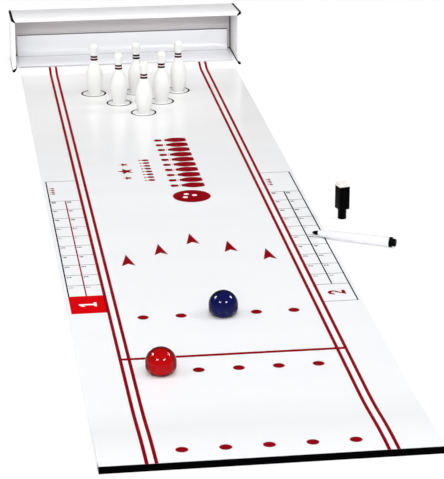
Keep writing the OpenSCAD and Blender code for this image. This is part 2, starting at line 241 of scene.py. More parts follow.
# Real threads lie about 1 mm apart, too fine to show, so they are drawn six times as coarse. A
# wave texture repeats once in 2 pi / 20 of its own units; one along each way makes the weave
thread_gap = 6.2832
threads = [
    add_node(
        tree, "ShaderNodeTexWave",
        {"bands_direction": way, "Scale": math.tau / (20 * thread_gap * MM)},
        {"Vector": place.outputs["Object"]},
    ).outputs["Fac"]
    for way in ("X", "Y")
]
weave = add_node(tree, "ShaderNodeMath", {"operation": "MULTIPLY"}, {0: threads[0], 1: threads[1]})
tinted(tree, shader, weave.outputs[0], "#c9cacd", "#e0e1e3")
uneven(tree, shader, weave.outputs[0], 0.15)

# A knife cut bares the film's grey core. Along the top of the upturned sheet in the box a dark band
# is painted, as painted shade for the shadow line at that edge
cut_edge, tree, shader = finish("knife_cut_pvc_core", "#b9bbc0", 0.6)
uneven(tree, shader, lumps(tree, 0.8), 0.05)
edge_shade_band, tree, shader = finish("painted_edge_shade", "#232327", 0.6, gloss=0.2)
uneven(tree, shader, lumps(tree, 0.8), 0.05)


def screen_ink(name, colour, deep):
    made, tree, shader = finish(name, colour, 0.5, gloss=0.012)
    tinted(tree, shader, lumps(tree, 1.2, 3.0), deep, colour)
    return made


crimson_ink = screen_ink("crimson_screen_ink", "#8d000e", "#80000b")
scarlet_ink = screen_ink("scarlet_screen_ink", "#d20108", "#c80007")
black_ink = screen_ink("black_screen_ink", "#120a0c", "#0c0608")
white_ink = screen_ink("white_screen_ink", "#fbf6f6", "#f5f0f0")
INKS = [crimson_ink, scarlet_ink, black_ink, white_ink]
RED, SCARLET, BLACK, WHITE = range(4)
print("mat finishes", [m.name for m in (vinyl, scrim, *INKS)])

# %% [markdown]
# ## The other finishes
# Each is named for the real stuff and how it was made, because that decides its gloss: a moulded
# plastic is smooth, a foamed board is satin with a fine orange-peel skin, felt is a mat of fibres
# that scatters light at its edge.

# %% Boards, rubber and tape
foam_board, tree, shader = finish("foamed_pvc_board", "#f2f1f3", 0.42)
uneven(tree, shader, lumps(tree, 1.5), 0.03)

# The back board has the same board painted greyer and duller, as painted shade for the top board's
# shadow on it
shaded_back_foam, tree, shader = finish("foamed_pvc_board_painted_shade", "#d1cccc", 0.6)
uneven(tree, shader, lumps(tree, 1.5), 0.05)

black_edging, tree, shader = finish("extruded_black_rubber", "#020202", 0.6, gloss=0.06)
uneven(tree, shader, lumps(tree, 0.8, 3.0), 0.05)

black_bar, tree, shader = finish("extruded_black_pvc", "#010102", 0.5, 1.52, gloss=0.008)
# Extrusion leaves fine lines along the bar's length, so the grain is drawn out along X
uneven(tree, shader, lumps(tree, 1.0, stretch=(0.03, 1, 1)), 0.04)

foam_tape, tree, shader = finish("acrylic_foam_tape", "#8d8e90", 0.8)
uneven(tree, shader, lumps(tree, 0.7, 3.0), 0.1)
print("box finishes", [m.name for m in (foam_board, shaded_back_foam, black_edging, black_bar, foam_tape)])

# %% [markdown]
# The pins are moulded ABS with printed bands. A little light goes into white ABS and comes out
# again close by, which softens its shadows. The balls are cast and polished resin, and the
# bearing balls under them are lapped steel in a carrier of acetal.

# %% Pins, balls and bearings
pin_abs, tree, shader = finish("moulded_white_abs", "#e4e4e2", 0.38, 1.52, gloss=0.12)
uneven(tree, shader, lumps(tree, 6, 1.0), 0.05)
shader.inputs["Subsurface Weight"].default_value = 0.06
shader.inputs["Subsurface Radius"].default_value = (0.004, 0.0035, 0.003)

pin_red, tree, shader = finish("crimson_pad_print", "#3c010e", 0.45, gloss=0.03)
tinted(tree, shader, lumps(tree, 1.0), "#34010c", "#440211")
pin_black, tree, shader = finish("black_pad_print", "#0b0b0e", 0.45, gloss=0.03)
tinted(tree, shader, lumps(tree, 1.0), "#08080a", "#0f0f13")

# How far a face must turn from the eye for the painted shade at the rim to start and to be full,
# and its greatest share
rim_shade_from, rim_shade_full, rim_shade_most = 0.34, 0.58, 0.95


def cast_resin(name, colour, deep, rim):
    made, tree, shader = finish(name, colour, 0.045, gloss=0.12)
    tinted(tree, shader, lumps(tree, 8), deep, colour)
    body_colour = shader.inputs["Base Color"].links[0].from_socket
    # The colour is painted darker where the surface turns from the eye: painted shade and a painted
    # dark reflection at the rim
    facing = add_node(tree, "ShaderNodeLayerWeight", {"Blend": 0.5})
    edge = add_node(
        tree, "ShaderNodeMapRange",
        {"From Min": rim_shade_from, "From Max": rim_shade_full, "To Min": 0.0, "To Max": rim_shade_most},
        {0: facing.outputs["Facing"]},
    )
    rim_shaded = add_node(
        tree, "ShaderNodeMix", {"data_type": "RGBA", 7: linear(rim)},
        {0: edge.outputs[0], 6: body_colour},
    )
    tree.links.new(rim_shaded.outputs[2], shader.inputs["Base Color"])
    return made


# The last colour of each is the dark painted shade at its rim
red_resin = cast_resin("polished_red_resin", "#ab0205", "#a00103", "#550002")
blue_resin = cast_resin("polished_navy_resin", "#0b104b", "#090d41", "#02031f")

acetal, tree, shader = finish("moulded_acetal", "#2a2a2d", 0.35, 1.48)
uneven(tree, shader, lumps(tree, 0.6), 0.02)

# A metal keeps the default IOR; the tiny lapping marks only widen its highlight
bearing_steel, tree, shader = finish("lapped_bearing_steel", "#c9cbd0", 0.12, metallic=1.0)
tinted(tree, shader, lumps(tree, 0.5), "#bfc1c6", "#d0d2d6")
print("ball finishes", [m.name for m in (red_resin, blue_resin, acetal, bearing_steel)])

# %% [markdown]
# The marker is a slim dry-wipe pen: a white polypropylene barrel, a black plug and cap moulded in
# the same plastic, a nib of bonded polyester fibre, and a block of wool felt that wipes the mat.

# %% Marker plastics, fibre and felt
white_pp, tree, shader = finish("moulded_white_polypropylene", "#e0e0e4", 0.42, 1.49, gloss=0.12)
uneven(tree, shader, lumps(tree, 5, 1.0), 0.04)
black_pp, tree, shader = finish("moulded_black_polypropylene", "#020202", 0.4, 1.49, gloss=0.02)
uneven(tree, shader, lumps(tree, 0.9), 0.02)

nib_fibre, tree, shader = finish("bonded_polyester_fibre", "#040405", 0.85, gloss=0.04)
uneven(tree, shader, lumps(tree, 0.35, 3.0), 0.08)

wool_felt, tree, shader = finish("pressed_wool_felt", "#eeece6", 0.95)
# Real fibres are about 0.03 mm thick, too fine to show, so they are drawn twelve times as coarse
fibres = lumps(tree, 0.35, 6.0, (1, 1, 2))
tinted(tree, shader, fibres, "#d8d5cd", "#f8f6f1")
uneven(tree, shader, fibres, 0.35)
shader.inputs["Sheen Weight"].default_value = 0.15
shader.inputs["Sheen Roughness"].default_value = 0.5
print("finishes", len(bpy.data.materials))

# %% [markdown]
# ## Making meshes
# A mesh is a list of points and a list of faces. One function makes the mesh, in metres. Another
# makes an object from it, shades it smooth and marks the edges sharper than 35 degrees.

# %% Mesh helpers
sharp_edge = 35


def place_piece(name, mesh, materials):
    for made in materials:
        mesh.materials.append(made)
    mesh.shade_smooth()
    mesh.set_sharp_from_angle(angle=math.radians(sharp_edge))
    piece = bpy.data.objects.new(name, mesh)
    bpy.context.scene.collection.objects.link(piece)
    return piece


def mesh_of(name, points, faces):
    mesh = bpy.data.meshes.new(name)
    mesh.from_pydata([Vector(p) * MM for p in points], [], faces)
    mesh.update()
    return mesh


print("edges sharper than", sharp_edge, "degrees stay sharp")

# %% [markdown]
# Pins, balls and pens are round, so they are turned, as on a lathe: an outline of radii and
# heights runs round an axis. Such outlines are mostly arcs, so one function gives an arc's points.

# %% Lathe helpers
# Two lengths closer than this, in millimetres, count as one
NEAR = 1e-6


def lathe(name, outline, turned, around=72):
    """outline is in millimetres, radius and height; turned lays it where the piece stands."""
    points, faces, rings = [], [], []
    for radius, height in outline:
        steps = 1 if radius < NEAR else around
        rings.append(range(len(points), len(points) + steps))
        for i in range(steps):
            turn = math.tau * i / around
            spot = Vector((radius * math.cos(turn), radius * math.sin(turn), height))
            points.append(turned @ spot)
    for low, high in zip(rings, rings[1:]):
        for i in range(around):
            after = i + 1
            corners = [
                low[i % len(low)], low[after % len(low)],
                high[after % len(high)], high[i % len(high)],
            ]
            # At the axis two corners are one point, which a face may hold only once
            corners = list(dict.fromkeys(corners))
            if len(corners) > 2:
                faces.append(corners)
    return mesh_of(name, points, faces)


def arc(c, h, r, start, end, steps=10):
    """Points of an arc about (c, h), angles in degrees."""
    turns = [math.radians(start + (end - start) * i / steps) for i in range(steps + 1)]
    return [(c + r * math.cos(t), h + r * math.sin(t)) for t in turns]


print("a half circle has", len(arc(0, 0, 1, 0, 180)), "points")

# %% [markdown]
# ## The line of the mat
# Seen from the side the mat starts on the end bar, sinks to the table over 126 mm, runs flat,
# climbs 5 mm onto the box floor and turns up at the back. Each climb is two arcs that touch, so
# the sheet never has a kink. The line is drawn twice, for the underside and for the top, and the
# two lists pair up point by point.

# %% Side line of the mat
sheet_t = 1.2
near_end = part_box("end_bar")[0].y / MM
box_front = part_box("floor_board")[0].y / MM
bar_seat, bar_lip, bar_depth = 5.3, 1.5, 14
near_climb, far_climb, floor_t = 126, 28, 5
# The last number is the height, in millimetres, of the dark band of painted shade at the sheet's
# top edge
upturn_y, upturn_r, upturn_top, edge_shade_h = 20.2, 12, 35, 0.7


def climb(y, length, height, up, steps=14):
    turn = 2 * math.atan(height / length)
    r = length / (2 * math.sin(turn))
    turn = math.degrees(turn)
    return (
        arc(y, r, r - up, -90, -90 + turn, steps)
        + arc(y + length, height - r, r + up, 90 + turn, 90, steps)[1:]
    )


def side_line(up):
    start = near_end + bar_depth
    descent = [(2 * start + near_climb - y, z) for y, z in climb(start, near_climb, bar_seat, up)]
    return (
        [(near_end + bar_lip, bar_seat + up)]
        + descent[::-1]
        + climb(box_front - far_climb, far_climb, floor_t, up)
        + arc(upturn_y, floor_t + upturn_r, upturn_r - up, -90, 0, 16)
        + [(upturn_y + upturn_r - up, z) for z in (upturn_top - edge_shade_h, upturn_top)]
    )


line = list(zip(side_line(0), side_line(sheet_t)))
print("side line points", len(line), "from", line[0][0], "to", line[-1][0])

# %% [markdown]
# A long flat stretch needs points of its own where the mat will bend as it rolls up, so points
# are put in wherever two lie more than a step apart.

# %% Finer side line
# Two stations closer along Y than this, in millimetres, stand at one Y
TINY = 1e-9


def between(a, b, t):
    return tuple(tuple(p + (q - p) * t for p, q in zip(u, v)) for u, v in zip(a, b))


# Up to here the mat rolls up or slopes, so its points lie close together
close_to = -1160


def finer(stations, step):
    out = [stations[0]]
    for a, b in zip(stations, stations[1:]):
        gap = math.dist(a[0], b[0])
        count = max(1, math.ceil(gap / (step if a[0][0] < close_to else 10 * step)))
        out += [between(a, b, i / count) for i in range(1, count + 1)]
    return out


def cut_line(stations, start, end):
    """The stations from start to end along Y, with one put in at each of the two cuts."""
    out = []
    for a, b in zip(stations, stations[1:]):
        if b[0][0] - a[0][0] > TINY:
            for y in (start, end):
                if a[0][0] < y < b[0][0]:
                    out.append(between(a, b, (y - a[0][0]) / (b[0][0] - a[0][0])))
        if start <= b[0][0] <= end:
            out.append(b)
    if start <= stations[0][0][0]:
        out.insert(0, stations[0])
    return out


line_step = 1.6
line = finer(line, line_step)

# %% [markdown]
# ## The printed marks
# The marks are drawn as flat shapes in millimetres, X across the mat and Y from its near end.
# They become thin skins of ink, 0.03 mm above the film, so they keep crisp edges in every view.
# Ink could also be painted by a shader, but shapes can be moved one by one and bend with the mat.

# %% Ink shapes
marks = []


def mark(ink, points):
    marks.append((ink, [(x, near_end + y) for x, y in points]))


def stripe(ink, x0, y0, x1, y1):
    mark(ink, [(x0, y0), (x1, y0), (x1, y1), (x0, y1)])


def disc(ink, x, y, diameter, steps=28):
    mark(ink, arc(x, y, diameter / 2, 0, 360, steps)[:-1])


def ring(ink, x, y, diameter, width, steps=48):
    inner, outer = (arc(x, y, diameter / 2 + side * width / 2, 0, 360, steps) for side in (-1, 1))
    for i in range(steps):
        mark(ink, [inner[i], outer[i], outer[i + 1], inner[i + 1]])


print("marks so far", len(marks))

# %% [markdown]
# The lane: two lines down each side, a foul line, three rows of dots and five darts that point at
# the pins. Each of the six pins has a ring to stand in.

# %% Lane marks
lane_x = (-109.0, -100.6, 100.6, 109.0)
lane_line = 3.3
foul_low, foul_high = 238.4, 243.7
dot_gap, dot_d = 38.1, 11.4
mat_end = box_front - near_end
for x in lane_x:
    stripe(RED, x - lane_line / 2, bar_lip, x + lane_line / 2, mat_end)
# The foul line stops at each lane line, so that no ink lies twice in one place
for x0, x1 in zip(lane_x, lane_x[1:]):
    stripe(RED, x0 + lane_line / 2, foul_low, x1 - lane_line / 2, foul_high)

DOT_ROWS = (25.6, 207.1, 345.0)
for y in DOT_ROWS:
    for i in range(-2, 3):
        disc(RED, dot_gap * i, y, dot_d)

DARTS = ((-76, 509), (-38, 538), (0, 567), (38, 538), (76, 509))
dart_tip, dart_notch, dart_tail, dart_half = 18.4, 10.2, 16.8, 7.4
for x, y in DARTS:
    tip, notch = (x, y + dart_tip), (x, y - dart_notch)
    mark(RED, [tip, (x - dart_half, y - dart_tail), notch])
    mark(RED, [tip, notch, (x + dart_half, y - dart_tail)])

PIN_PITCH = 56.6
FRONT_PIN_Y = 1058
# The rings are print, drawn bolder so that they also stand for the pins' contact shadows: partly
# painted shade
ring_d, ring_w = 31.3, 2.4
PINS = {
    "pin_1_front": (0, 0), "pin_2_middle_left": (1, 0), "pin_3_middle_right": (1, 1),
    "pin_4_back_left": (2, 0), "pin_5_back_centre": (2, 1), "pin_6_back_right": (2, 2),
}


def pin_place(row, place):
    behind = PIN_PITCH * math.sin(math.radians(60))
    return (place - row / 2) * PIN_PITCH, FRONT_PIN_Y + row * behind


# Pins are set down by hand, so in two rows they stand about a millimetre beside their rings
ring_shift = (0.8, 0, 1.3)
for row, place in PINS.values():
    x, y = pin_place(row, place)
    ring(BLACK, x - ring_shift[row], y, ring_d, ring_w)
print("lane marks", len(marks))

# %% [markdown]
# The score tables: ten rows and a heading on each side of the lane, for two players. The left
# table ends in a red cell and the right one in a white cell.

# %% Score tables
TABLE_ROWS = 10
row_gap = 30.3
table_low, cells_low = 363.0, 411.3
cells_high = cells_low + TABLE_ROWS * row_gap
table_high = 787.0
hair, upright = 0.95, 1.5
outer, middle, inner = 145.5, 127.5, lane_x[-1] + lane_line / 2
for side in (-1, 1):
    low = cells_low if side < 0 else table_low
    stripe(BLACK, side * outer - upright / 2, low, side * outer + upright / 2, table_high)
    ink = RED if side < 0 else BLACK
    stripe(ink, side * middle - upright / 2, cells_low, side * middle + upright / 2, cells_high)
    # On the left the red cell's own edge is the lowest line
    first = 1 if side < 0 else 0
    for y in [cells_low + row_gap * i for i in range(first, TABLE_ROWS + 1)]:
        for a, b in ((outer, middle), (middle, inner)):
            stop = b + (upright / 2 if b == middle else 0)
            x0, x1 = sorted((side * (a - upright / 2), side * stop))
            stripe(BLACK, x0, y - hair / 2, x1, y + hair / 2)
    x0, x1 = sorted((side * (outer - upright / 2), side * inner))
    stripe(BLACK, x0, table_high - hair, x1, table_high)
    if side > 0:
        stripe(BLACK, x0, table_low, x1, table_low + hair)
stripe(SCARLET, -outer - upright / 2, table_low, -inner, cells_low)
print("marks with the tables", len(marks))

# %% [markdown]
# Each row carries its number twice, in Blender's own typeface. The cells at the tables' ends hold
# the players' numbers, a white 1 in the red cell and a red 2 in the white one.

# %% Numbers of the tables
# A digit of Blender's own typeface is 0.7 of its type size high; the offset makes it bolder
digit_share, digit_bolder = 0.7, 0.06


def numeral(ink, text, x, y, height):
    """Digits turned to be read from the right."""
    curve = bpy.data.curves.new("numeral_" + text, "FONT")
    curve.body, curve.size = text, height / digit_share
    curve.align_x, curve.align_y = "CENTER", "CENTER"
    curve.offset = digit_bolder * height
    shape = bpy.data.objects.new("numeral_" + text, curve)
    flat = bpy.data.meshes.new_from_object(shape)
    for face in flat.polygons:
        corners = [flat.vertices[i].co for i in face.vertices]
        mark(ink, [(x - c.y, y + c.x) for c in corners])
    bpy.data.objects.remove(shape)
    bpy.data.meshes.remove(flat)


# The two large digits are cut from straight and round strokes, thick enough to read from afar
digit_x, digit_y = 128, 387
turned_digits = {
    "1": [
        [(-1.8, -9), (1.8, -9), (1.8, 9), (-0.8, 9), (-5, 5.6), (-5, 2.6), (-1.8, 4.6)],
        [(-5.4, -9), (-1.8, -9), (-1.8, -6.2), (-5.4, -6.2)],
        [(1.8, -9), (5.4, -9), (5.4, -6.2), (1.8, -6.2)],
    ],
    "2": [
        [(-5.8, -9), (6.2, -9), (6.2, -5.4), (-0.6, -5.4)],
        [(-5.8, -9), (-0.6, -5.4), (5.3, 1.2), (1.2, 2.2)],
    ],
}
for digit, ink, x in (("1", WHITE, -digit_x), ("2", RED, digit_x)):
    for stroke in turned_digits[digit]:
        mark(ink, [(x - v, digit_y + u) for u, v in stroke])
# The round top of the 2 is the band between two arcs
bow_h, bow_outer, bow_inner, bow_steps = 3.6, 5.8, 2.2, 16
over, under = (arc(0, bow_h, r, -25, 190, bow_steps) for r in (bow_outer, bow_inner))
for i in range(bow_steps):
    patch = (under[i], over[i], over[i + 1], under[i + 1])
    mark(RED, [(digit_x - v, digit_y + u) for u, v in patch])
number_h, number_drop = 4.6, 5.6
number_columns = (-141.0, -123.2, 114.9, 131.9)
for i in range(TABLE_ROWS):
    for x in number_columns:
        numeral(BLACK, str(i + 1), x, cells_low + row_gap * (i + 1) - number_drop, number_h)
print("marks with the numbers", len(marks))

# %% [markdown]
# ## The line of a pin
# Each pin is 69 mm tall. Its outline is a few arcs that run into each other: base, belly,
# shoulder, neck and a round head. Two bands run round the neck. The same outline gives the flat
# pins that are printed on the lane and, further down, the real pins.

# %% Pin outline
PIN_H = 69
BANDS = ((46.5, 49.15), (50.25, 52.9))


def pin_outline():
    base, belly, neck, head = 7.5, 11.25, 4.6, 5.8
    edge, belly_z, neck_z, head_z = 0.6, 23.5, 50, PIN_H - head
    hollow, hollow_r = 1, 4.5
    flank_h = belly_z - edge
    flank = ((belly - base) ** 2 + flank_h ** 2) / (2 * (belly - base))
    both = ((belly - neck) ** 2 + (neck_z - belly_z) ** 2) / (2 * (belly - neck))
    shoulder = 32
    turn = math.degrees(math.asin((neck_z - belly_z) / both))
    throat = ((head - neck) ** 2 + (head_z - neck_z) ** 2) / (2 * (head - neck))
    bend = math.degrees(math.asin((head_z - neck_z) / throat))
    drop = math.degrees(math.asin(flank_h / flank))
    return (
        [(0, hollow), (hollow_r, hollow), (hollow_r + edge, 0)]
        + arc(base - edge, edge, edge, -90, -20, 4)
        + arc(belly - flank, belly_z, flank, -drop, 0, 18)
        + arc(belly - shoulder, belly_z, shoulder, 0, turn, 18)[1:]
        + arc(neck + both - shoulder, neck_z, both - shoulder, 180 + turn, 180, 16)[1:]
        + arc(neck + throat - head, neck_z, throat - head, 180, 180 - bend, 12)[1:]
        + arc(0, head_z, head, -bend, 90, 18)[1:-1] + [(0, PIN_H)]
    )


def with_heights(outline, heights):
    out = [outline[0]]
    for (r0, z0), (r1, z1) in zip(outline, outline[1:]):
        for z in sorted(h for h in heights if z0 < h < z1):
            out.append((r0 + (r1 - r0) * (z - z0) / (z1 - z0), z))
        out.append((r1, z1))
    return out


pin_line = with_heights(pin_outline(), [z for band in BANDS for z in band])
print("pin outline points", len(pin_line))

# %% [markdown]
# The middle of the lane carries a plain frieze of a ball and ten stout pins in a row. A row of
# tiny pins and three stars stand beside it. It is large enough to be seen from the player's end,
# and it reads from the right-hand side of the mat.

# %% Lane frieze
def flat_pin(y, x_base, height, stout):
    """A printed pin: three patches of ink with the neck bands left bare."""
    scale = height / PIN_H
    cuts = [0, *[z for band in BANDS for z in band], PIN_H]
    for low, high in zip(cuts[::2], cuts[1::2]):
        side = [(r, z) for r, z in pin_line[3:] if low - NEAR <= z <= high + NEAR]
        half = [(r * scale * stout, z * scale) for r, z in side]
        outline = half + [(-r, z) for r, z in reversed(half) if r > NEAR]
        mark(RED, [(x_base - z, y + r) for r, z in outline])


def pin_row(count, y_from, gap, x_base, height, stout):
    for i in range(count):
        flat_pin(y_from + gap * i, x_base, height, stout)


pin_row(10, y_from=752.5, gap=20, x_base=39, height=40, stout=1.4)
# The ball and its three finger holes
disc(RED, 19, 712, diameter=44, steps=56)
for x, y in ((11, 709), (13.5, 720), (22.5, 715)):
    disc(WHITE, x, y, diameter=6, steps=20)
pin_row(8, y_from=777, gap=11, x_base=-16.5, height=12.5, stout=1.7)


def star(x, y, diameter, waist=0.42):
    """A five-pointed star, drawn as five kites; waist is its inner radius over its outer one."""
    r = diameter / 2
    rim = [
        (x - k * r * math.cos(t), y + k * r * math.sin(t))
        for t, k in ((math.pi * i / 5, (1, waist)[i % 2]) for i in range(10))
    ]
    for i in range(0, 10, 2):
        mark(RED, [(x, y), rim[i - 1], rim[i], rim[i + 1]])


for x, y, diameter in ((-48, 788, 13), (-48, 814, 22), (-48, 840, 13)):
    star(x, y, diameter)
# Four tiny pins mark the heading of each score table
for x in (-137.5, 119):
    pin_row(4, y_from=741, gap=6.5, x_base=x, height=6, stout=2.2)
print("all marks", len(marks))

# %% [markdown]
# ## Cutting the mat where it bends
# The model lets the near 132 mm roll up on six hinges. A real sheet bends evenly instead, so each
# drawn piece reaches from the middle of one strip to the middle of the next. Sheet and ink are cut
# at the same places.

# %% Build the sheet
STRIPS = 6
strip_w = 22
hinge_y = [near_end + strip_w * (STRIPS - i) for i in range(STRIPS)]
lane_from = hinge_y[0] + strip_w / 2


def sheet_piece(name, stations):
    points, faces = [], []
    for low, top in stations:
        points += [(x, *at) for at in (low, top) for x in (-half_w, half_w)]
    for i in range(len(stations) - 1):
        a, b = 4 * i, 4 * i + 4
        faces += [
            (a, b, b + 1, a + 1), (a + 2, a + 3, b + 3, b + 2),
            (a, a + 2, b + 2, b), (a + 1, b + 1, b + 3, a + 3),
        ]
    last = 4 * len(stations) - 4
    faces += [(0, 1, 3, 2), (last, last + 2, last + 3, last + 1)]
    mesh = mesh_of(name, points, faces)
    piece = place_piece(name, mesh, [vinyl, scrim, cut_edge])
    for i, face in enumerate(mesh.polygons):
        face.material_index = (1, 0, 2, 2)[i % 4] if i < 4 * len(stations) - 4 else 2
    return piece


print("hinges at", [round(y, 1) for y in hinge_y])

# %% [markdown]
# The ink starts flat. It is cut across every 2 mm where the mat rolls up or slopes from the bar,
# and every 1.4 mm on its climb into the box, so that lifting each point onto the mat's line makes
# the marks bend with it.

# %% Cut the ink
# Up to here the mat's top has one height for each Y; beyond it the mat turns up
print_to = 18
tops = [top for low, top in line if top[0] < print_to]


def mat_top(y):
    for (y0, z0), (y1, z1) in zip(tops, tops[1:]):
        if y <= y1:
            return z0 + (z1 - z0) * max(0, y - y0) / max(TINY, y1 - y0)
    return tops[-1][1]


flat_ink = bmesh.new()
for ink, corners in marks:
    face = flat_ink.faces.new([flat_ink.verts.new((x * MM, y * MM, 0)) for x, y in corners])
    face.material_index = ink


def cut_across(ink, y, clear_low=False, clear_high=False):
    bmesh.ops.bisect_plane(
        ink, geom=[*ink.verts, *ink.edges, *ink.faces], plane_co=(0, y * MM, 0), plane_no=(0, 1, 0),
        clear_inner=clear_low, clear_outer=clear_high,
    )


cuts_from, near_step, climb_step = near_end + 12, 2, 1.4
near_cuts = [cuts_from + near_step * i for i in range(67)]
climb_cuts = [box_front - far_climb + climb_step * i for i in range(20)]
for y in near_cuts + climb_cuts:
    cut_across(flat_ink, y)
print("ink faces", len(flat_ink.faces))

# %% [markdown]
# Each stretch of ink is cut out of the flat marks, and every point of it is lifted onto the mat's
# top. White ink is laid over red, so it lies a little higher.

# %% Lift the ink
# Heights above the mat in millimetres, in the order of INKS
ink_t = (0.03, 0.03, 0.03, 0.05)


def ink_piece(name, start, end):
    part = flat_ink.copy()
    cut_across(part, start, clear_low=True)
    cut_across(part, end, clear_high=True)
    for face in part.faces:
        for corner in face.verts:
            lift = max(ink_t[f.material_index] for f in corner.link_faces)
            corner.co.z = (mat_top(corner.co.y / MM) + lift) * MM
    part.normal_update()
    for face in part.faces:
        if face.normal.z < 0:
            face.normal_flip()
    mesh = bpy.data.meshes.new(name)
    part.to_mesh(mesh)
    part.free()
    return place_piece(name, mesh, INKS)


print("ink heights", dict(zip((m.name for m in INKS), ink_t)))

# %% [markdown]
# Now sheet and ink become pieces. The long one lies on the lane and in the box. The six near the
# bar each reach between the two strips that they join and stay where they are drawn, and the last
# one moves with the bar.

# %% Place the mat
# Any Y past the mat's end
beyond = 999
lane_sheet = sheet_piece("mat_sheet", cut_line(line, lane_from, beyond))
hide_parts("play_mat", "play_mat_box_floor", "play_mat_upturn")
# The four faces round the sheet's last stretch and its end face are the edge seen in the box. They
# get the dark band of painted shade
lane_sheet.data.materials.append(edge_shade_band)
for face in (*lane_sheet.data.polygons[-6:-2], lane_sheet.data.polygons[-1]):
    face.material_index = 3
lane_print = ink_piece("mat_print", lane_from, box_front)
for piece in (lane_sheet, lane_print):
    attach(piece, "lane")

roll_pieces = []
for k in range(STRIPS):
    high, low = hinge_y[k] + strip_w / 2, hinge_y[k] - strip_w / 2
    sheet = sheet_piece(f"mat_bend_{k + 1}", cut_line(line, low, high))
    ink = ink_piece(f"mat_bend_{k + 1}_print", low, high)
    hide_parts(f"mat_roll_strip_{k + 1}")
    for piece in (sheet, ink):
        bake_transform(piece)
    roll_pieces += [sheet, ink]

near_sheet = sheet_piece("mat_near_edge", cut_line(line, near_end, hinge_y[-1] - strip_w / 2))
near_print = ink_piece("mat_near_edge_print", near_end, hinge_y[-1] - strip_w / 2)
for piece in (near_sheet, near_print):
    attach(piece, "mat_roll_6")
flat_ink.free()
print("mat pieces", 2 + len(roll_pieces) + 2)

# %% [markdown]
# ## The pins
# The pins are moulded ABS. Their bands are printed, crimson on five pins and black on one, so the
# faces between those heights get the band's own finish.

# %% Turn the pins
for node, (row, place) in PINS.items():
    x, y = pin_place(row, place)
    stand = Matrix.Translation((x, near_end + y, sheet_t))
    mesh = lathe(node + "_turned", pin_line, stand)
    band = pin_black if node == "pin_5_back_centre" else pin_red
    pin = place_piece(node + "_turned", mesh, [pin_abs, band])
    for face in mesh.polygons:
        height = face.center.z / MM - sheet_t
        face.material_index = int(any(low < height < high for low, high in BANDS))
    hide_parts(node)
    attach(pin, node)
print("pins", len(PINS), "faces each", len(mesh.polygons))

# %% [markdown]
# ## The balls
# The balls don't roll: each is a cast and polished dome that glides on three steel bearing balls
# held in a plastic carrier under it. The dome is turned with a fuller side below its widest line,
# a small round at its base edge and an open seat for the carrier.

# %% Turn the balls
def ball_outline(radius=14.85, cut=10.4, skirt=3, side_r=8.2, seat_r=8.6, seat_h=4.6, edge=0.4):
    # The round at the base touches both the flat base and the side from inside
    side_x, side_h = radius - side_r, cut - skirt
    centre_r = side_x + math.sqrt((side_r - edge) ** 2 - (side_h - edge) ** 2)
    lean = math.degrees(math.atan2(edge - side_h, centre_r - side_x))
    return (
        [(0, seat_h), (seat_r, seat_h), (seat_r, 0)]
        + arc(centre_r, edge, edge, -90, lean, 6)
        + arc(side_x, side_h, side_r, lean, 0, 20)[1:]
        + arc(0, cut, radius, 0, 90, 40)[:-1] + [(0, cut + radius)]
    )


# The bearing balls hold the base this far above the mat
ride_h = 0.5
BALLS = {
    "red_ball": (-74, 205, red_resin, "ball_red"), "blue_ball": (4, 342, blue_resin, "ball_blue"),
}
for body, (x, y, resin, slot) in BALLS.items():
    stand = Matrix.Translation((x, near_end + y, sheet_t + ride_h))
    dome = lathe(body + "_dome", ball_outline(), stand, 96)
    shell = place_piece(body + "_dome", dome, [resin])
    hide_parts(body + "_shell")
    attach(shell, body)
print("balls", list(BALLS))

# %% [markdown]
# ## The pin box
# Five 5 mm boards of foamed PVC meet in mitres, with a black rubber strip in each joint. A sawn
# board is never razor sharp, so each board copies its solid's faces and has every edge taken off
# by 0.3 mm, and the end bar by half of that. Such small rounds catch the light along the edges.

# %% Soften the boards
# Points closer than this, in millimetres, are one, and faces that turn by less than this, in
# degrees, are one flat face
weld, level = 0.002, 1


def softened(node, name, edge_mm, made, sharper_than=25, segments=2, profile=0.5, clamp=True):
    """A copy of a solid's faces with every edge sharper than an angle in degrees rounded off."""
    shape = bmesh.new()
    shape.from_mesh(frame["nodes"][node].data)
    bmesh.ops.remove_doubles(shape, verts=shape.verts, dist=weld * MM)
    bmesh.ops.dissolve_limit(
        shape, angle_limit=math.radians(level), verts=shape.verts, edges=shape.edges
    )
    least = math.radians(sharper_than)
    sharp = [e for e in shape.edges if len(e.link_faces) == 2 and e.calc_face_angle() > least]
    bmesh.ops.bevel(
        shape, geom=sharp, offset=edge_mm * MM, offset_type="OFFSET", segments=segments,
        profile=profile, affect="EDGES", clamp_overlap=clamp,
    )
    mesh = bpy.data.meshes.new(name)
    shape.to_mesh(mesh)
    shape.free()
    mesh.materials.clear()
    piece = place_piece(name, mesh, [made])
    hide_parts(node)
    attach(piece, frame["nodes"][node]["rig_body"])
    return piece


for board in ("floor_board", "top_board", "back_board", "left_end_board", "right_end_board"):
    # The back board takes the greyer board finish, which is painted shade
    made = shaded_back_foam if board == "back_board" else foam_board
    softened(board, board + "_sawn", 0.3, made)
softened("end_bar", "end_bar_extruded", 0.15, black_bar)
print("boards softened")

# %% [markdown]
# ## Strips, tapes and inner parts
# The strips, seal and tapes, what is under the balls and the marker's ink reservoir already have
# their real shape. They stay as they are, and each solid's own material is exchanged for a finish.

# %% Dress the remaining solids
DRESSED = {
    "floor_joint_strips": black_edging, "top_joint_strips": black_edging, "back_seal": black_edging,
    "mat_back_tape": foam_tape, "end_bar_tape": foam_tape, "marker_reservoir": nib_fibre,
}
for body in BALLS:
    DRESSED[body + "_carrier"] = acetal
    for i in (1, 2, 3):
        DRESSED[f"{body}_bearing_{i}"] = bearing_steel
for node, made in DRESSED.items():
    frame["nodes"][node].data.materials.clear()
    frame["nodes"][node].data.materials.append(made)
print("dressed", len(DRESSED))

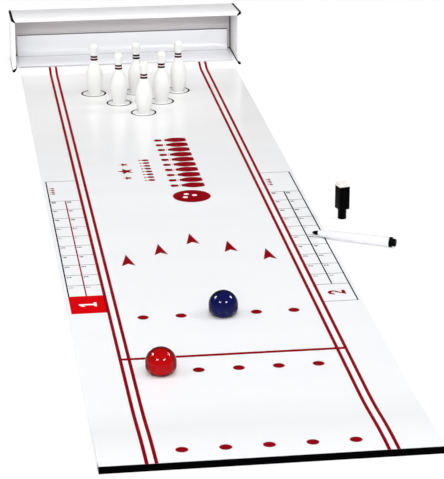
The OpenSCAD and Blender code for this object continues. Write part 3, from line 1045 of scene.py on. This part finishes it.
# %% [markdown]
# ## The marker
# The pen lies with its nib and nose over the mat. Its barrel leans on the mat's edge and its plug
# on the table, so it tilts by about 0.2 degrees. All its pieces are turned on one axis, drawn
# upright with the nib's tip at 0 and then laid down by one matrix.

# %% Lay the marker
# Radii and lengths in millimetres, from the nib to the plug
nib_r, nib_len, nose_len, barrel_len = 2.5, 7, 10, 71
front_r, back_r, wall = 4.7, 5.6, 1.2
collar_r, collar_len, boss_r, boss_len = 5.7, 3, 4.2, 4
barrel_from = nib_len + nose_len
barrel_to = barrel_from + barrel_len
collar_to = barrel_to + collar_len
# The tip's distances from the mat's side and near end, and the gap left under the plug
tip_in, tip_y, table_gap = 17, 557, 0.05
heading = math.radians(-28)
edge_from = tip_in / math.cos(heading)
edge_r = front_r + (edge_from - barrel_from) * (back_r - front_r) / barrel_len
tilt = math.asin((sheet_t + edge_r - collar_r) / (collar_to - edge_from))
tip_z = collar_r + table_gap + collar_to * math.sin(tilt)
laid = (
    Matrix.Translation((half_w - tip_in, near_end + tip_y, tip_z))
    @ Matrix.Rotation(heading, 4, "Z") @ Matrix.Rotation(math.radians(90) + tilt, 4, "Y")
)
print("marker tilts by", round(math.degrees(tilt), 2), "degrees")

# %% [markdown]
# The nib is a half ellipse in front of a rod. The nose has a rounded mouth round it and a tail
# that plugs into the barrel. The barrel widens towards the back, where the plug's stem closes it.

# %% Turn the marker
nib_tail, nib_steps = 6, 14
nib = [
    (nib_r * math.sin(t), nib_len * (1 - math.cos(t)))
    for t in [math.pi / 2 * i / nib_steps for i in range(nib_steps + 1)]
] + [(nib_r, barrel_from + nib_tail), (0, barrel_from + nib_tail)]

mouth_r, mouth_round, tail_r, tail_len = 2.55, 0.32, 3.45, 5
cone_r, cone_to, nose_r, nose_from = 3.86, nib_len + 4.7, 3.9, nib_len + 5.2
nose = arc(mouth_r + mouth_round, nib_len + mouth_round, mouth_round, -180, -20, 5) + [
    (cone_r, cone_to), (nose_r, nose_from), (nose_r, barrel_from), (tail_r, barrel_from),
    (tail_r, barrel_from + tail_len), (mouth_r, barrel_from + tail_len),
    (mouth_r, nib_len + mouth_round),
]

lip, lip_in, back_bevel, barrel_steps = 0.35, 0.3, 0.25, 6
taper, even_len = back_r - front_r, barrel_len - 2 * lip
barrel = (
    [(front_r - wall, barrel_from + lip_in)]
    + arc(front_r - lip, barrel_from + lip, lip, -90, 0, 5)
    + [
        (front_r + taper * i / barrel_steps, barrel_from + lip + even_len * i / barrel_steps)
        for i in range(1, barrel_steps + 1)
    ]
    + [(back_r - back_bevel, barrel_to), (back_r - wall, barrel_to)]
    + [(front_r - wall, barrel_from + lip_in)]
)

stem_r, stem_len, small, large, boss_round = 4.25, 5, 0.3, 0.6, 0.5
boss_to = collar_to + boss_len
plug = (
    [(0, barrel_to - stem_len), (stem_r, barrel_to - stem_len), (stem_r, barrel_to)]
    + [(collar_r - small, barrel_to)]
    + arc(collar_r - small, barrel_to + small, small, -90, 0, 4)
    + arc(collar_r - large, collar_to - large, large, 0, 90, 6)
    + [(boss_r + small, collar_to), (boss_r, collar_to + small)]
    + arc(boss_r - boss_round, boss_to - boss_round, boss_round, 0, 90, 6) + [(0, boss_to)]
)

MARKER = {
    "marker_nib": (nib, nib_fibre, "ink_fibre"), "marker_nose": (nose, white_pp, "marker_white"),
    "marker_barrel": (barrel, white_pp, "marker_white"),
    "marker_plug": (plug, black_pp, "marker_black"),
}
for node, (outline, made, slot) in MARKER.items():
    piece = place_piece(node + "_turned", lathe(node + "_turned", outline, laid, 64), [made])
    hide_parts(node)
    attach(piece, "marker")
print("marker pieces", len(MARKER))

# %% [markdown]
# ## The eraser cap
# The cap stands on the mouth of its tube. Its square block has rounded upright edges and carries
# a pad of pressed felt. Both copy their solids, as the boards do. The moulded block's edges are
# eased a little, and the soft felt's twice as far; its fuzz comes from its finish alone.

# %% Cap and felt
cap = softened("cap_body", "cap_moulded", 0.25, black_pp)
felt = softened(
    "cap_eraser", "cap_felt_pad", 0.5, wool_felt,
    sharper_than=60, segments=3, profile=0.6, clamp=False,
)
print("cap and felt", len(cap.data.polygons), len(felt.data.polygons))

# %% [markdown]
# ## Floor, light and camera
# The game stands on a plain white floor. Seen by the camera the floor is nearly self-lit, so it
# stays white and still takes the soft shadows.

# %% Floor
paper, tree, shader = finish("white_backdrop_paper", "#ffffff", 0.9)
seen = add_node(tree, "ShaderNodeLightPath")
glow = add_node(tree, "ShaderNodeEmission", {"Color": (1, 1, 1, 1), "Strength": 1.0})
straight = add_node(
    tree, "ShaderNodeMath", {"operation": "ADD"},
    {0: seen.outputs["Is Camera Ray"], 1: seen.outputs["Is Glossy Ray"]},
)
clear = add_node(
    tree, "ShaderNodeMath", {"operation": "ADD", "use_clamp": True},
    {0: straight.outputs[0], 1: seen.outputs["Is Transmission Ray"]},
)
# Near the object the lamps add part of the white. Farther off they reach less and less, so the
# floor's own glow grows: where that starts and ends, in metres, and the glow's share near by
glow_from, glow_full, glow_near = 1.6, 4.0, 0.55
place = add_node(tree, "ShaderNodeTexCoord")
away = add_node(tree, "ShaderNodeVectorMath", {"operation": "LENGTH"}, {0: place.outputs["Object"]})
glowing = add_node(
    tree, "ShaderNodeMapRange",
    {"From Min": glow_from, "From Max": glow_full, "To Min": glow_near, "To Max": 1.0},
    {0: away.outputs["Value"]},
)
share = add_node(
    tree, "ShaderNodeMath", {"operation": "MULTIPLY"}, {0: clear.outputs[0], 1: glowing.outputs[0]}
)
mixed = add_node(
    tree, "ShaderNodeMixShader", None,
    {0: share.outputs[0], 1: shader.outputs["BSDF"], 2: glow.outputs["Emission"]},
)
tree.links.new(mixed.outputs[0], tree.nodes["Material Output"].inputs["Surface"])
half = 14
floor_mesh = bpy.data.meshes.new("floor")
floor_mesh.from_pydata(
    [(-half, -half, 0), (half, -half, 0), (half, half, 0), (-half, half, 0)], [], [(0, 1, 2, 3)]
)
floor_mesh.materials.append(paper)
floor = bpy.data.objects.new("floor", floor_mesh)
bpy.context.scene.collection.objects.link(floor)
print("floor", 2 * half, "m wide")

# %% [markdown]
# Five wide soft lamps light the object; the lowest one reaches into the box. They are hidden from
# reflections. What the polished balls show instead are four small bright windows, two at the
# sides and two by the camera, which give gloss alone.

# %% Lamps
# Every lamp points here
target = Vector((0, -0.5, 0))


def softbox(name, towards, distance, size, power):
    lamp = bpy.data.lights.new(name, "AREA")
    lamp.shape, lamp.size, lamp.size_y, lamp.energy = "RECTANGLE", size[0], size[1], power
    holder = bpy.data.objects.new(name, lamp)
    way = Vector(towards).normalized()
    holder.location = target + way * distance
    holder.rotation_mode = "QUATERNION"
    holder.rotation_quaternion = way.to_track_quat("Z", "Y")
    bpy.context.scene.collection.objects.link(holder)
    return holder


# The way to each lamp, its distance and size in metres, and its power in watts
SOFT_LAMPS = {
    "left_soft": ((-0.75, -0.1, 0.65), 12, (4, 4), 240),
    "right_soft": ((0.75, -0.1, 0.65), 12, (4, 4), 320),
    "top_soft": ((0, -0.12, 1), 5, (3, 3), 86), "front_soft": ((-0.1, -0.7, 0.7), 12, (4, 3), 300),
    "low_soft": ((-0.1, -0.915, 0.39), 12, (6, 1.3), 445),
}
for name, (towards, distance, size, power) in SOFT_LAMPS.items():
    softbox(name, towards, distance, size, power).visible_glossy = False
# Each window is 11 m away and gives 190 watts for each square metre of its size
window_away, window_power = 11, 190
WINDOWS = {
    "left_window": ((-0.694, 0.309, 0.65), (2.8, 2.8)),
    "right_window": ((0.752, 0.106, 0.65), (2.8, 2.8)),
    "left_camera_window": ((-0.505, -0.651, 0.567), (3.2, 2.0)),
    "right_camera_window": ((0.307, -0.765, 0.567), (3.2, 2.0)),
}
for name, (towards, size) in WINDOWS.items():
    power = window_power * size[0] * size[1]
    softbox(name, towards, window_away, size, power).visible_diffuse = False
print("lamps", len(bpy.data.lights))

# %% [markdown]
# The room itself gives a weak white light, so that no shadow is black. It is brighter in front of
# the object (-Y) than behind it.

# %% World
world = bpy.data.worlds.new("white_studio")
bpy.context.scene.world = world
world.use_nodes = True
tree = world.node_tree
surround = tree.nodes["Background"]
surround.inputs["Color"].default_value = (1, 1, 1, 1)
room_front, room_back = 0.45, 0.15
place = add_node(tree, "ShaderNodeTexCoord")
way = add_node(tree, "ShaderNodeSeparateXYZ", None, {0: place.outputs["Generated"]})
room = add_node(
    tree, "ShaderNodeMapRange",
    {"From Min": -1, "From Max": 1, "To Min": room_front, "To Max": room_back},
    {0: way.outputs["Y"]},
)
tree.links.new(room.outputs[0], surround.inputs["Strength"])
print("world", world.name, "from", room_front, "down to", room_back)

# %% [markdown]
# The camera stands about 1.7 m in front of the mat's near end, 0.8 m up and a little to the left,
# and looks down by 20 degrees through a long lens. The long side of the frame is its height.

# %% Camera
camera_at = (-0.27701, -2.97628, 0.81159)
pitch, pan, roll = (math.radians(a) for a in (19.8848, 7.9596, 0.0628))
ahead = Vector((math.sin(pan) * math.cos(pitch), math.cos(pan) * math.cos(pitch), -math.sin(pitch)))
right = Vector((math.cos(pan), -math.sin(pan), 0))
up = right.cross(ahead)
tilted_right = math.cos(roll) * right + math.sin(roll) * up
tilted_up = -math.sin(roll) * right + math.cos(roll) * up
lens = bpy.data.cameras.new("camera")
lens.sensor_width, lens.lens = 36, 163.5005
lens.clip_start, lens.clip_end = 0.1, 60
camera = bpy.data.objects.new("camera", lens)
camera.matrix_world = Matrix.Translation(camera_at) @ Matrix(
    (tilted_right, tilted_up, -ahead)
).transposed().to_4x4()
bpy.context.scene.collection.objects.link(camera)
bpy.context.scene.camera = camera
bpy.context.scene.view_settings.view_transform = "Standard"
print("camera", [round(v, 3) for v in camera.location])
